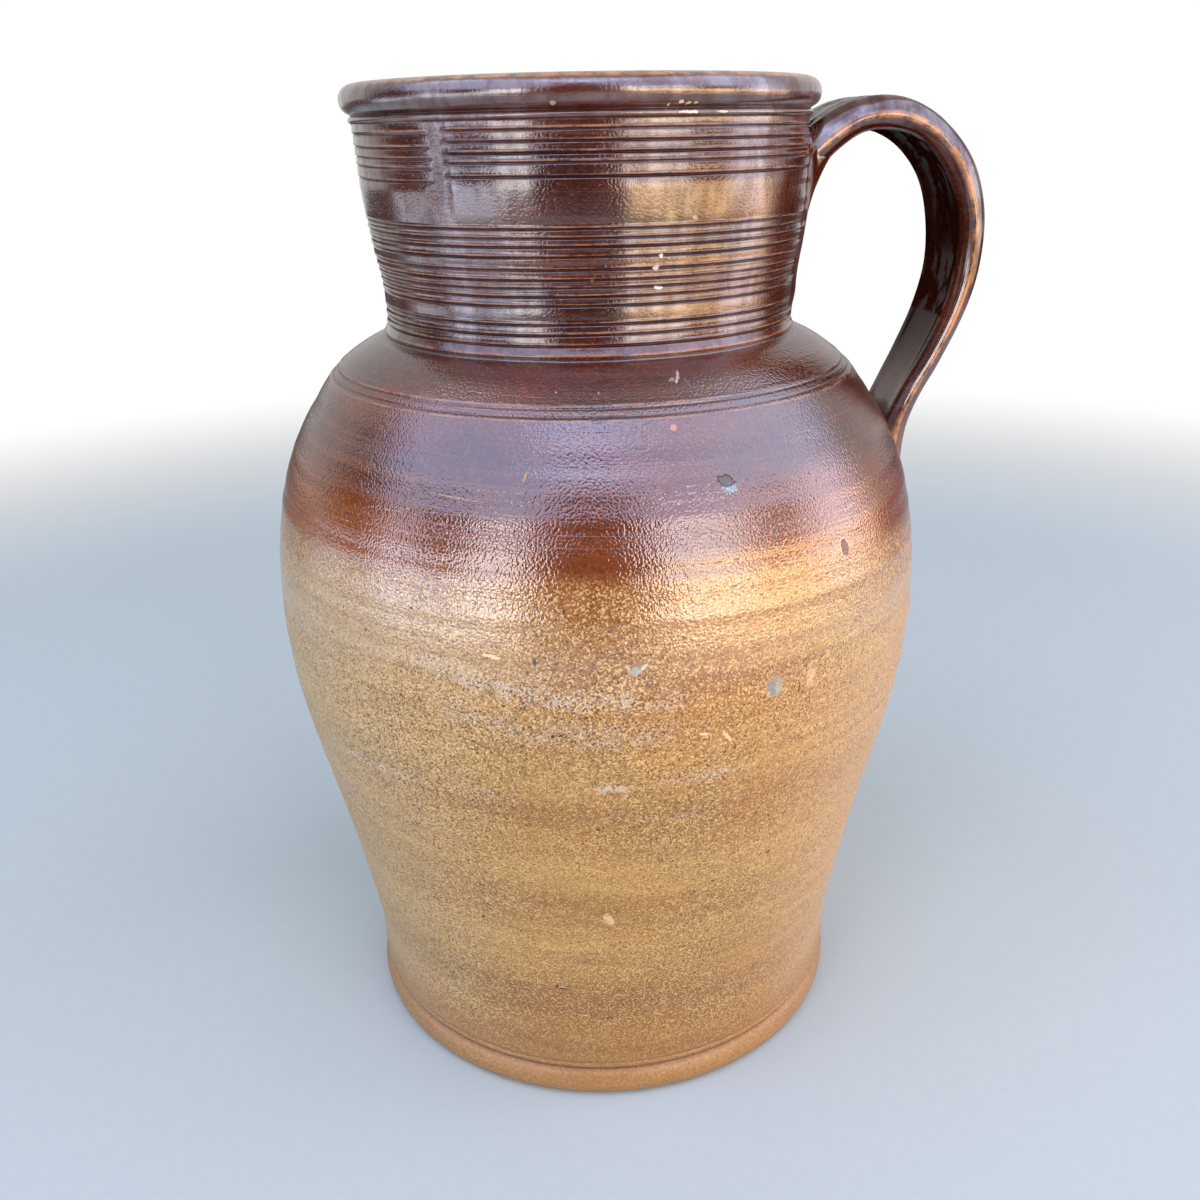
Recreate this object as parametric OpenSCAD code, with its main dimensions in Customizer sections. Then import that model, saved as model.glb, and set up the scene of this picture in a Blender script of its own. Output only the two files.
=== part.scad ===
// Stoneware crock jug: a wheel-thrown, salt-glazed jug with a rolled rim, a
// ribbed neck collar and a pulled strap handle luted on at the neck and shoulder.
// Millimetres, +Z up, the jug stands on the floor at z = 0, handle towards +X.

/* [Jug] */

// Height of the jug from the floor to the top of the rim
jug_h = 305; // [260:1:340]

// Radius of the jug at its widest, just above half height
belly_r = 104.4; // [92:0.2:112]

// Radius of the rounded foot bead
foot_r = 83.8; // [80.5:0.1:84.5]

// Thickness of the thrown floor and height of the foot bead
floor_t = 10; // [7:0.5:12]

// Wall thickness at the belly, measured level
wall_t = 7.4; // [5:0.1:9]

/* [Neck and rim] */

// Radius of the neck at its waist, low down
neck_r = 62.3; // [58:0.1:66]

// Radius of the rolled rim at its fullest
rim_r = 70.2; // [68:0.1:73]

// Height of the rolled rim bead
rim_h = 9; // [7:0.5:10]

// Depth of the turned lines round the neck
line_depth = 0.55; // [0.2:0.05:0.8]

// Width of each turned line
line_w = 1.5; // [0.8:0.1:1.7]

/* [Handle] */

// How far the handle's middle line stands out from a line between its two joints
handle_reach = 42; // [36:1:48]

// Width of the handle strap at its grip
strap_w = 35; // [26:1:40]

// Thickness of the handle strap along its rounded edges
strap_t = 9; // [7:0.5:10]

// Depth of the hollow down the strap's inner face
strap_hollow = 1.6; // [0:0.1:2.5]

// Thickness of the clay smeared down the neck below the handle
smear_t = 3.2; // [2:0.1:4]

/* [Hidden] */

$fn = 96;

// Heights as shares of the jug's height
belly_z = 0.492 * jug_h;
neck_z = 0.7705 * jug_h;
rim_z = 0.965 * jug_h;

// Waist above the foot bead, and the neck's top under the rim
waist_r = 0.989 * foot_r;
rim_overhang = 0.34 * rim_h;
seat_r = rim_r - rim_overhang;

// Outer outlines: share of the jug's height, then share of the way between two
// radii. The wall goes from the waist to the belly, the shoulder from the neck to
// the belly and the neck from its waist to the rim's seat.
wall_shares = [[0.0410, 0], [0.072, 0], [0.115, 0.055], [0.164, 0.177],
    [0.230, 0.353], [0.295, 0.549], [0.361, 0.758], [0.426, 0.926], [0.492, 1.0]];
shoulder_shares = [[0.492, 1.0], [0.557, 0.976], [0.623, 0.886], [0.672, 0.746],
    [0.705, 0.596], [0.734, 0.444], [0.754, 0.266], [0.7705, 0.045]];
neck_shares = [[0.7705, 0.15], [0.787, 0], [0.820, 0.07], [0.859, 0.47],
    [0.902, 0.765], [0.944, 0.93], [0.965, 1.0]];

// Level wall thickness along the height, as shares of the belly's
thick_wall_shares = [[0.0328, 1.32], [0.062, 1.12], [0.115, 1.09], [0.164, 1.07],
    [0.230, 1.05], [0.361, 1.01], [0.492, 1.0], [0.557, 1.02], [0.672, 1.01],
    [0.705, 1.06], [0.734, 1.20], [0.754, 1.24], [0.7705, 0.94], [0.787, 0.93],
    [0.859, 0.97], [0.965, 0.98]];

// Heights of the turned lines, as shares of the jug's height
line_shares = [0.782, 0.7915, 0.8005, 0.816, 0.824, 0.831, 0.838, 0.8465, 0.857,
    0.8655, 0.8725, 0.880, 0.9215, 0.932, 0.9395, 0.9485, 0.9575];

// Twin lines scored round the shoulder: height shares, depth and width
score_shares = [0.7345, 0.7395];
score_d = 0.7 * line_depth;
score_w = 0.75 * line_w;

// Foot: groove above the bead, edge rounding and the bead's underside
foot_groove = 0.9 * line_w;
foot_round = 0.22 * floor_t;
disc_r = 0.907 * foot_r;
disc_chamfer = 0.08 * floor_t;

// Rim: bead radius, the fillet bead under it, mouth edge rounding
bead_r = rim_h / 2;
bead_z = jug_h - bead_r;
bead_x = rim_r - bead_r;
mouth_r = seat_r - 0.98 * wall_t;
mouth_round = 0.34 * rim_h;
fillet_r = 0.16 * rim_h;

// Handle middle line: share of the way from the upper to the lower joint, then
// share of the handle's reach out from that line
strap_shares = [[0.035, -0.29], [-0.010, -0.09], [-0.050, 0.13], [-0.066, 0.35],
    [-0.050, 0.555], [-0.012, 0.725], [0.045, 0.86], [0.120, 0.955],
    [0.205, 1.005], [0.297, 1.0], [0.390, 0.943], [0.488, 0.835], [0.585, 0.665],
    [0.675, 0.455], [0.750, 0.26], [0.818, 0.112], [0.886, 0.02], [0.957, -0.022],
    [1.020, -0.045]];
root_z = 0.9265 * jug_h;
tail_end_z = 0.600 * jug_h;

// Strap width and thickness along the same points, as shares of the grip's
width_shares = [1.16, 1.10, 1.05, 1.02, 1, 1, 1, 1, 1, 1, 0.98, 0.95, 0.91, 0.87,
    0.83, 0.80, 0.76, 0.66, 0.40];
thick_shares = [1.30, 1.25, 1.18, 1.12, 1.08, 1.04, 1, 1, 1, 0.98, 0.94, 0.88, 0.83,
    0.80, 0.80, 0.88, 0.90, 0.70, 0.30];

// Hollow of the inner face along the same points, as shares of the grip's
hollow_shares = [0, 0, 0, 0.3, 0.7, 1, 1, 1, 1, 1, 1, 1, 0.9, 0.7, 0.4, 0.2, 0, 0, 0];

// The strap ends and the pressed tail begins at this height
tail_z = 0.669 * jug_h;

// Smear of clay on the neck: bottom, top, half angle of spread, edge thickness
smear_low = 0.778 * jug_h;
smear_high = 0.925 * jug_h;
smear_angle = 33;
smear_edge = 0.12 * smear_t;
smear_root = 2.3 * smear_t;
smear_steps = 14;
smear_cols = 12;

// How finely curves are followed, and how far cutting solids run over
steps = 4;
ring_pts = 22;
over = 0.1 * jug_h;

clay_brown = [0.34, 0.16, 0.09];
clay_tan = [0.72, 0.52, 0.27];
clay_foot = [0.56, 0.36, 0.17];
clay_raw = [0.70, 0.60, 0.46];

// One value of a smooth curve through four neighbours, t from 0 to 1
function curve1(a, b, c, d, t) =
    0.5 * (2 * b + (c - a) * t + (2 * a - 5 * b + 4 * c - d) * t * t
    + (3 * b - a - 3 * c + d) * t * t * t);

// A smooth row of points through a list of numbers or points
function smooth(list, n) =
    let (last = len(list) - 1)
    [for (i = [0 : last - 1]) for (k = [0 : n - 1])
        let (a = i > 0 ? list[i - 1] : 2 * list[0] - list[1])
        let (d = i < last - 1 ? list[i + 2] : 2 * list[last] - list[last - 1])
        curve1(a, list[i], list[i + 1], d, k / n), list[last]];

// Shares to [radius, height], between a low radius and a high one
function real(list, low, high) =
    [for (p = list) [low + (high - low) * p[1], p[0] * jug_h]];

function reversed(list) = [for (i = [len(list) - 1 : -1 : 0]) list[i]];

// Radius of a row of [radius, height] points at a height
function radius_at(list, z) = lookup(z, [for (p = list) [p[1], p[0]]]);

wall_line = smooth(real(wall_shares, waist_r, belly_r), steps);
shoulder_line = smooth(real(shoulder_shares, neck_r, belly_r), steps);
neck_line = smooth(real(neck_shares, neck_r, seat_r), steps);

// Inner outline: the outer one less the wall's thickness there
thick_line = [for (p = smooth(thick_wall_shares, steps)) [p[0] * jug_h, p[1] * wall_t]];
function inner(list) = [for (p = list) [p[0] - lookup(p[1], thick_line), p[1]]];

floor_in = [waist_r - lookup(floor_t, thick_line), floor_t];
wall_in_line = concat([floor_in], inner(wall_line));
shoulder_in_line = inner(shoulder_line);
neck_in_line = concat([shoulder_in_line[len(shoulder_in_line) - 1]],
    [for (p = inner(neck_line)) if (p[1] > neck_z * 1.004) p]);

// Points of a row, with a notch cut at each height in the list
function notched(list, heights, w, depth) =
    let (plain = [for (p = list)
        if (len([for (h = heights) if (abs(p[1] - h) < 0.75 * w) 1]) == 0) [p[1], p[0]]])
    let (cuts = [for (h = heights) for (q = [-0.5, 0, 0.5])
        [h + q * w, radius_at(list, h + q * w) - (q == 0 ? depth : 0)]])
    let (joined = concat(plain, cuts))
    let (order = sorted([for (p = joined) p[0]]))
    [for (z = order) [lookup(z, sorted_pairs(joined)), z]];

// Sort numbers upwards
function sorted(v) = len(v) <= 1 ? v :
    let (m = v[floor(len(v) / 2)])
    concat(sorted([for (x = v) if (x < m) x]), [for (x = v) if (x == m) x][0],
        sorted([for (x = v) if (x > m) x]));

// Sort pairs upwards by their first number
function sorted_pairs(v) = len(v) <= 1 ? v :
    let (m = v[floor(len(v) / 2)][0])
    concat(sorted_pairs([for (p = v) if (p[0] < m) p]), [[for (p = v) if (p[0] == m) p][0]],
        sorted_pairs([for (p = v) if (p[0] > m) p]));

// Solid inside an outline, from the axis outwards, used to trim the handle
module core(line) {
    first = line[0];
    last = line[len(line) - 1];
    rotate_extrude()
        polygon(concat([[0, first[1]]], line, [[0, last[1]]]));
}

module neck_core() {
    core(neck_line);
}

module shoulder_core() {
    core(shoulder_line);
}

// Thrown floor
module base_disc() {
    color(clay_raw)
        rotate_extrude()
            polygon([[0, 0], [disc_r, 0], [disc_r, floor_t], [0, floor_t]]);
}

// Rounded foot bead, turned round the floor
module foot_bead() {
    color(clay_foot)
        rotate_extrude()
            difference() {
                union() {
                    translate([foot_r - foot_round * 2, foot_round])
                        circle(r = foot_round);
                    translate([disc_r, 0])
                        square([foot_r - foot_round * 2 - disc_r, floor_t]);
                    translate([disc_r, foot_round])
                        square([foot_r - foot_round - disc_r, floor_t - foot_round - foot_groove]);
                    translate([foot_r - floor_t / 2 + foot_groove / 2, floor_t / 2 - foot_groove / 2])
                        circle(r = floor_t / 2 - foot_groove / 2);
                }
                translate([0, -over])
                    square([foot_r + over, over]);
                square([disc_r, floor_t]);
            }
}

// Lower wall, from the foot to the widest place
module body_wall() {
    groove_line = [[disc_r, floor_t], [foot_r - foot_round * 2, floor_t]];
    color(clay_tan)
        rotate_extrude()
            polygon(concat(groove_line, wall_line, reversed(wall_in_line)));
}

// Shoulder with its twin scored lines
module shoulder() {
    heights = [for (s = score_shares) s * jug_h];
    scored = notched(shoulder_line, heights, score_w, score_d);
    color(clay_brown)
        rotate_extrude()
            polygon(concat(scored, reversed(shoulder_in_line)));
}

// Neck collar with its turned lines
module neck_collar() {
    heights = [for (s = line_shares) s * jug_h];
    turned = notched(neck_line, heights, line_w, line_depth);
    color(clay_brown)
        rotate_extrude()
            polygon(concat(turned, reversed(neck_in_line)));
}

// Rolled rim
module rim_roll() {
    color(clay_brown)
        rotate_extrude()
            union() {
                translate([bead_x, bead_z])
                    circle(r = bead_r);
                translate([mouth_r, rim_z])
                    square([seat_r - mouth_r, bead_z - rim_z]);
                translate([mouth_r, bead_z])
                    square([bead_x - mouth_r, jug_h - bead_z - mouth_round]);
                translate([mouth_r + mouth_round, jug_h - mouth_round * 2])
                    square([bead_x - mouth_r - mouth_round, mouth_round * 2]);
                translate([mouth_r + mouth_round, jug_h - mouth_round])
                    circle(r = mouth_round);
                translate([seat_r - fillet_r * 0.4, rim_z + fillet_r])
                    circle(r = fillet_r);
            }
}

// Handle strap
root_joint = [radius_at(neck_line, root_z), root_z];
tail_joint = [radius_at(shoulder_line, tail_end_z), tail_end_z];
chord = tail_joint - root_joint;
chord_out = [-chord[1], chord[0]] / norm(chord);
path = smooth([for (p = strap_shares)
    root_joint + chord * p[0] + chord_out * handle_reach * p[1]], 3);
widths = smooth(width_shares, 3);
thicks = smooth(thick_shares, 3);
hollows = smooth(hollow_shares, 3);
ring_count = len(path);

function along(i) =
    let (a = path[max(i - 1, 0)])
    let (b = path[min(i + 1, ring_count - 1)])
    let (d = b - a)
    d / norm(d);

// Cross section: flat oval with a hollow on the inner side, [across, out]
function section(i) =
    [for (k = [0 : ring_pts - 1])
        let (u = 360 * k / ring_pts)
        let (c = cos(u))
        let (s = sin(u))
        let (x = sign(c) * pow(abs(c), 0.62))
        let (y = sign(s) * pow(abs(s), 0.72))
        let (dip = y < 0 ? strap_hollow * hollows[i] * max(0, 1 - x * x * 1.35) : 0)
        [x * strap_w * widths[i] / 2, y * strap_t * thicks[i] / 2 + dip]];

function ring(i) =
    let (t = along(i))
    let (out = [-t[1], t[0]])
    [for (p = section(i)) [path[i][0] + out[0] * p[1], p[0], path[i][1] + out[1] * p[1]]];

// Middle of the strap's underside at a ring, [x, z]
function under(i) =
    let (t = along(i))
    path[i] - [-t[1], t[0]] * strap_t * thicks[i] / 2;

module strap_body() {
    points = [for (i = [0 : ring_count - 1]) for (p = ring(i)) p];
    sides = [for (i = [0 : ring_count - 2]) for (k = [0 : ring_pts - 1])
        let (m = (k + 1) % ring_pts)
        for (f = [0, 1])
            f == 0
            ? [i * ring_pts + k, i * ring_pts + m, (i + 1) * ring_pts + m]
            : [i * ring_pts + k, (i + 1) * ring_pts + m, (i + 1) * ring_pts + k]];
    first = [for (k = [ring_pts - 1 : -1 : 0]) k];
    last = [for (k = [0 : ring_pts - 1]) (ring_count - 1) * ring_pts + k];
    polyhedron(points = points, faces = concat(sides, [first, last]));
}

module handle_strap() {
    color(clay_brown)
        difference() {
            strap_body();
            neck_core();
            translate([0, -over, tail_z - over * 3])
                cube([belly_r * 2, over * 2, over * 3]);
        }
}

// Pressed lower end of the strap
module handle_tail() {
    color(clay_brown)
        difference() {
            strap_body();
            shoulder_core();
            translate([0, -over, tail_z])
                cube([belly_r * 2, over * 2, jug_h]);
        }
}

// Thickness of the smear at a share of its height and of its half width
function smear_depth(v, u) =
    let (rise = sin(90 * min(1, v / 0.22)))
    let (body = v < 0.65 ? smear_edge + (smear_t - smear_edge) * rise
        : smear_t + (smear_root - smear_t) * pow((v - 0.65) / 0.35, 1.5))
    smear_edge + (body - smear_edge) * pow(cos(90 * u), 0.8);

function smear_point(i, k, deep) =
    let (v = i / smear_steps)
    let (u = 2 * k / smear_cols - 1)
    let (a = smear_angle * u * (0.72 + 0.28 * v))
    let (z = smear_low + (smear_high - smear_low) * v)
    let (r = radius_at(neck_line, z) + (deep ? -wall_t / 4 : smear_depth(v, u)))
    [r * cos(a), r * sin(a), z];

// Clay luted on below the strap's upper end and smeared down the neck
module smear_body() {
    cols = smear_cols + 1;
    loop = 2 * cols;
    points = [for (i = [0 : smear_steps])
        for (k = [0 : loop - 1])
            k < cols ? smear_point(i, k, false) : smear_point(i, loop - 1 - k, true)];
    sides = [for (i = [0 : smear_steps - 1]) for (k = [0 : loop - 1])
        let (m = (k + 1) % loop)
        for (f = [0, 1])
            f == 0
            ? [i * loop + k, (i + 1) * loop + m, i * loop + m]
            : [i * loop + k, (i + 1) * loop + k, (i + 1) * loop + m]];
    first = [for (i = [0 : cols - 2]) for (f = [0, 1])
        f == 0 ? [i, i + 1, loop - 2 - i] : [i, loop - 2 - i, loop - 1 - i]];
    top = smear_steps * loop;
    last = [for (i = [0 : cols - 2]) for (f = [0, 1])
        f == 0 ? [top + i, top + loop - 2 - i, top + i + 1]
        : [top + i, top + loop - 1 - i, top + loop - 2 - i]];
    polyhedron(points = points, faces = concat(sides, first, last));
}

module handle_root() {
    seat = under(3);
    rise = under(6) - seat;
    color(clay_brown)
        difference() {
            smear_body();
            neck_core();
            translate([seat[0], 0, seat[1]])
                rotate([0, -atan2(rise[1], rise[0]), 0])
                translate([-belly_r, -belly_r, 0])
                cube([belly_r * 2, belly_r * 2, belly_r]);
        }
}

base_disc();
foot_bead();
body_wall();
shoulder();
neck_collar();
rim_roll();
handle_strap();
handle_root();
handle_tail();
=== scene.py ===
# Salt-glazed stoneware jug: thrown body, ribbed neck collar, rolled rim and a pulled strap handle
import math
import bpy
import numpy as np
from mathutils import Matrix, Vector


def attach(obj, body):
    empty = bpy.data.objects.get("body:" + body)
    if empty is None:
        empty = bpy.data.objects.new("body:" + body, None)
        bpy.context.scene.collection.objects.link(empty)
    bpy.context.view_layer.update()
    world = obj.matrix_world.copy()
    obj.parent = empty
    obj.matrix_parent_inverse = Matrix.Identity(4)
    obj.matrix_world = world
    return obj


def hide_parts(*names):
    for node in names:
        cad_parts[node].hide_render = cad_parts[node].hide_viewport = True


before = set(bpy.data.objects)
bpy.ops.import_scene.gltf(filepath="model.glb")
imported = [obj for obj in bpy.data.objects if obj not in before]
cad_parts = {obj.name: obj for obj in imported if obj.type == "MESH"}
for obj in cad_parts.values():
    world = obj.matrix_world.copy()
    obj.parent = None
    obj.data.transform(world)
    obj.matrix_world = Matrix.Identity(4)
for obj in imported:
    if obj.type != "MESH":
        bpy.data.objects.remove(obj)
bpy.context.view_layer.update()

mm = 0.001
print("frame loaded, nodes:", sorted(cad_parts))


# Camera and lights, in metres and degrees. The handle points along +X, so the whole
# photograph stands turned a little round the jug.
photoView = {
    "turn": -7,   # the photograph's frame against the jug's
    "aside": -0.00069, "away": 0.3675, "height": 0.2914,
    "tiltDown": 22.265, "yaw": -0.264, "roll": -1.074,
    "focalLength": 34.389, "sensor": 36,
}

def addObject(name, data):
    thing = bpy.data.objects.new(name, data)
    bpy.context.scene.collection.objects.link(thing)
    return thing

def placeCamera(view):
    lens = bpy.data.cameras.new("photoCamera")
    lens.sensor_width, lens.lens = view["sensor"], view["focalLength"]
    lens.clip_start, lens.clip_end = 0.01, 20
    camera = addObject("photoCamera", lens)
    tilt, roll = math.radians(view["tiltDown"]), math.radians(view["roll"])
    spin = Matrix.Rotation(math.radians(view["yaw"]), 3, "Z")
    side = spin @ Vector((1, 0, 0))
    ahead = spin @ Vector((0, math.cos(tilt), -math.sin(tilt)))
    up = side.cross(ahead)
    right = side * math.cos(roll) + up * math.sin(roll)
    top = up * math.cos(roll) - side * math.sin(roll)
    turn = Matrix.Rotation(math.radians(view["turn"]), 3, "Z")
    axes = [turn @ v for v in (right, top, -ahead)]
    spot = turn @ Vector((view["aside"], -view["away"], view["height"]))
    rows = [(*[axis[i] for axis in axes], spot[i]) for i in range(3)]
    camera.matrix_world = Matrix(rows + [(0, 0, 0, 1)])
    bpy.context.scene.camera = camera

placeCamera(photoView)


# Outline of the jug in millimetres, by the same shares as the model's
jug = {
    "height": 305, "bellyRadius": 104.4, "footRadius": 83.8, "waistShare": 0.989,
    "wallThick": 7.4, "neckRadius": 62.3, "rimRadius": 70.2, "rimTall": 9, "rimInset": 0.34,
    "belly": 150, "collar": 235, "rimSeat": 294.3,   # heights where the pieces meet
    "skin": -0.14,   # the dressed surface lies this far inside the model's
    "columns": 420,
    "belt": 166,   # height where the shoulder's full gloss begins
    "wall": [(.072, 0), (.115, .055), (.164, .177), (.23, .353), (.295, .549), (.361, .758), (.426, .926),
        (.492, 1)],
    "shoulder": [(.492, 1), (.557, .976), (.623, .886), (.672, .746), (.705, .596), (.734, .444),
        (.754, .266), (.7665, .095)],
    "neck": [(.7755, .19), (.787, .02), (.82, .07), (.859, .47), (.902, .765), (.944, .93), (.965, 1)],
    "thick": [(.0328, 1.32), (.062, 1.12), (.115, 1.09), (.164, 1.07), (.23, 1.05), (.361, 1.01),
        (.492, 1), (.557, 1.02), (.672, 1.01), (.705, 1.06), (.734, 1.2), (.754, 1.24), (.7705, .94),
        (.787, .93), (.859, .97), (.965, .98)],
    # foot groove with its two lips, and the crease under the collar
    "footLip": [(10.25, 81.15), (10.9, 81.75), (11.8, 82.5), (12.5, 82.5), (13.3, 82.1), (14.1, 82.75),
        (15.2, 83), (17.5, 82.9)],
    "crease": [(234.3, 64.5), (234.75, 63.35), (235.4, 63.25), (236.2, 63.5)],
}
tall = jug["height"]

# A smooth curve through points, with some steps for each stretch
def smoothRow(points, steps=12):
    p = np.array(points, float)
    p = p[:, None] if p.ndim == 1 else p
    ends = np.vstack([2 * p[0] - p[1], p, 2 * p[-1] - p[-2]])
    t = (np.arange(steps) / steps)[:, None]
    rows = []
    for a, b, c, d in zip(ends, ends[1:], ends[2:], ends[3:]):
        square, cube = 2 * a - 5 * b + 4 * c - d, 3 * b - a - 3 * c + d
        rows.append(0.5 * (2 * b + (c - a) * t + square * t ** 2 + cube * t ** 3))
    return np.vstack(rows + [p[-1:]])

def ease(low, high, value):
    t = np.clip((value - low) / (high - low), 0, 1)
    return t * t * (3 - 2 * t)

# Rises from low to full, and falls again from fall to end
def between(value, low, full, fall, end):
    return ease(low, full, value) * (1 - ease(fall, end, value))

def hump(value, middle, width):
    return np.exp(-((value - middle) / width) ** 2)

def unit(vectors):
    return vectors / np.maximum(np.linalg.norm(vectors, axis=-1, keepdims=True), 1e-9)

# Signed degrees from one side of the jug
def turnGap(angle, middle):
    return (np.degrees(angle) - middle + 180) % 360 - 180

# Smooth (height, radius) rows from shares of the height and of the way out
def heights(shares, low, high):
    return smoothRow([(h * tall, low + (high - low) * s) for h, s in shares])

outerTable = np.vstack([
    smoothRow(jug["footLip"]),
    heights(jug["wall"], jug["waistShare"] * jug["footRadius"], jug["bellyRadius"])[:-1],
    heights(jug["shoulder"], jug["neckRadius"], jug["bellyRadius"]),
    smoothRow(jug["crease"]),
    heights(jug["neck"], jug["neckRadius"], jug["rimRadius"] - jug["rimInset"] * jug["rimTall"])[3:]])
thickTable = heights(jug["thick"], 0, jug["wallThick"])

def outerRadius(z):
    return np.interp(z, *outerTable.T)

def innerRadius(z):
    return outerRadius(np.maximum(z, 14)) - np.interp(z, *thickTable.T) + 0.5


# Turned lines, wiped flute and other relief of the thrown surface, in millimetres and degrees
relief = {
    # turned lines of the neck: height, depth
    "lines": [(292, .3), (289.3, .5), (286.6, .55), (284.3, .4), (281, .55), (268.4, .42),
        (266.1, .45), (264, .5), (261.4, .52), (258.2, .55), (255.6, .5), (253.5, .45),
        (251.3, .5), (248.9, .5), (244.1, .5), (241.4, .55), (238.6, .55)],
    "ridge": 0.2, "wander": 0.14,
    "fluteFrom": -133.6, "fluteTo": -127.3, "fluteDepth": 0.4,   # wiped across the lines by a thumb
    "fluteSpan": (267, 275, 293.5, 296.5),
    "scored": (224.05, 225.75), "scoreDepth": 0.3,
    "lean": 2, "leanFrom": 170, "leanWay": (0.9925, -0.122, 0),   # away from the handle
    "throwing": 0.06, "thrownSpan": (12, 40, 228, 236),
    "wallRings": [(141, .09), (133.5, .12), (127, .07), (112.5, .1), (96, .08), (62, .07),
        (40, .1), (27.5, .12), (22.5, .09)],
    "dipLines": [(188.2, 0.12), (186, 0.11), (191.5, 0.06)], "dipLineSides": (-140, -122, -68, -50),
    "dipDrop": 6.5,
    "smear": 1.25, "smearSpan": (234.5, 243, 286, 293),   # clay wiped over the neck below the handle
    # seams in which the glaze pools and which are painted darker as shade, and edges on which it wears:
    # height, width, share
    "poolsAndShade": [(235, 0.55, 1), (10.4, 0.6, 0.8), (13.3, 0.5, 0.35)],
    "neckEdge": (236.4, 0.55, 0.8), "footEdge": (14.6, 0.8, 0.5),
}
fluteWide = relief["fluteTo"] - relief["fluteFrom"]

# Slow unevenness, the same each run
def waves(angle, z, seed):
    rise = z * 0.021
    return sum(np.sin(k * (angle + seed * 1.7) + rise * (k % 3 + 1) + seed) / (k + 0.5)
               for k in range(1, 6))

# A ripple that climbs or falls by its own pitch in each turn round the jug
def coil(angle, z, pitch, way=1, start=0):
    return np.sin((z / pitch + way * angle / (2 * np.pi)) * 2 * np.pi + start)

# Where the handle's clay is wiped over the neck
def smearCover(angle, z):
    side = np.abs(turnGap(angle, 0)) + 1.6 * np.sin(z * 0.55) + np.sin(z * 1.3 + 1)
    return (1 - ease(19, 38, side)) * between(z, *relief["smearSpan"])

def fluteCover(angle, z):
    gap = turnGap(angle, relief["fluteFrom"])
    ragged = ease(-2.2, 2, gap + 0.35 * np.sin(z * 1.9))
    sides = ragged * (1 - ease(fluteWide - 2.4, fluteWide + 0.8, gap))
    return sides * between(z, *relief["fluteSpan"])

# How far a line wanders up or down
def lineShift(angle, z):
    gap = turnGap(angle, relief["fluteFrom"])
    left = (1 - ease(2, 4.5, gap)) * (gap > -120) * (1 - ease(20, 90, -gap)) * ease(272, 282, z)
    return between(z, 236, 240, 290, 294) * (relief["wander"] * waves(angle, z, 2) - 1.25 * left)

def outerRelief(angle, z):
    gap = turnGap(angle, relief["fluteFrom"])
    flute, smeared = fluteCover(angle, z), smearCover(angle, z)
    rings = coil(angle, z, 8.2) + 0.7 * coil(angle, z, 13.7, -1, 1.3)
    rings += 0.5 * coil(angle, z, 5.1, 1, waves(angle, z, 5))
    total = jug["skin"] + relief["throwing"] * between(z, *relief["thrownSpan"]) * rings
    total = total - 0.1 * (1 + 0.5 * waves(angle, z, 1)) * ease(20, 80, z)
    for z0, lift in relief["wallRings"]:
        ring = hump(z, z0 + 0.5 * waves(angle, z0, z0), 1.4)
        total += lift * ring * ease(-1.2, 0.4, waves(angle, z0, 2))
    # turned lines, each a groove with a ridge above it, fainter left of the flute
    keep = (1 - flute) * (1 - 0.97 * smeared)
    fainter = 1 - 0.25 * ease(-1.5, 1, -gap) * (gap < 0) * ease(275, 283, z)
    grooves, crests = [0.42 * flute], []
    for i, (line, depth) in enumerate(relief["lines"]):
        groove = hump(z, line - 0.05, 0.29) * keep * (1 + 0.16 * waves(angle * 3, z, i + 3)) * fainter
        ridge = hump(z, line + 0.55, 0.27) * keep * (1 + 0.25 * waves(angle * 2, z, i + 9))
        total += relief["ridge"] * ridge - depth * groove
        total -= keep * (0.12 * depth * hump(z, line - 0.9, 0.7) + 0.1 * hump(z, line, 1.6))
        grooves.append(groove)
        crests.append(ridge)
    # two scored lines on the shoulder
    low, high = relief["scored"]
    for z0 in (low, high):
        cut = hump(z, z0 + 0.1 * waves(angle, z0, 4), 0.27)
        total -= relief["scoreDepth"] * cut * (1 + 0.18 * waves(angle, z0, z0))
        grooves.append(0.9 * cut)
    total += 0.1 * (hump(z, low - 0.85, 0.45) + hump(z, high + 0.85, 0.45))
    total -= 0.12 * hump(z, (low + high) / 2, 0.7)
    crests.append(0.75 * (hump(z, low - 0.8, 0.4) + hump(z, high + 0.8, 0.35)))
    # pools of glaze with painted shade, worn edges and the fine lines in the dip
    grooves += [share * hump(z, z0, width) for z0, width, share in relief["poolsAndShade"]]
    for (z0, width, share), bare in ((relief["neckEdge"], 1 - smeared), (relief["footEdge"], 1)):
        crests.append(share * hump(z, z0, width) * bare)
    for z0, deep in relief["dipLines"]:
        level = z0 + 0.35 * waves(angle, z0, z0) - relief["dipDrop"] * ease(45, 95, 104 * np.cos(angle))
        cut = hump(z, level, 0.3) * ease(-0.4, 0.9, waves(angle * 2, z0, 1))
        cut = cut * between(np.degrees(angle), *relief["dipLineSides"])
        total -= deep * cut
        crests.append(0.6 * cut)
    across = np.clip(gap / fluteWide, 0, 1)
    total += relief["smear"] * smeared - relief["fluteDepth"] * flute * (0.35 + 0.65 * across ** 1.5)
    return total, np.maximum.reduce(grooves), np.maximum.reduce(crests)

# Angles of the columns, finer where the thumb wiped the neck
def fillColumns():
    even = np.linspace(-180, 180, jug["columns"], endpoint=False)
    extra = np.linspace(relief["fluteFrom"] - 1.5, relief["fluteTo"] + 1.6, 36)
    apart = (even < extra[0] - 0.3) | (even > extra[-1] + 0.3)
    return np.radians(np.sort(np.concatenate([even[apart], extra])))

columns = fillColumns()

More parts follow.
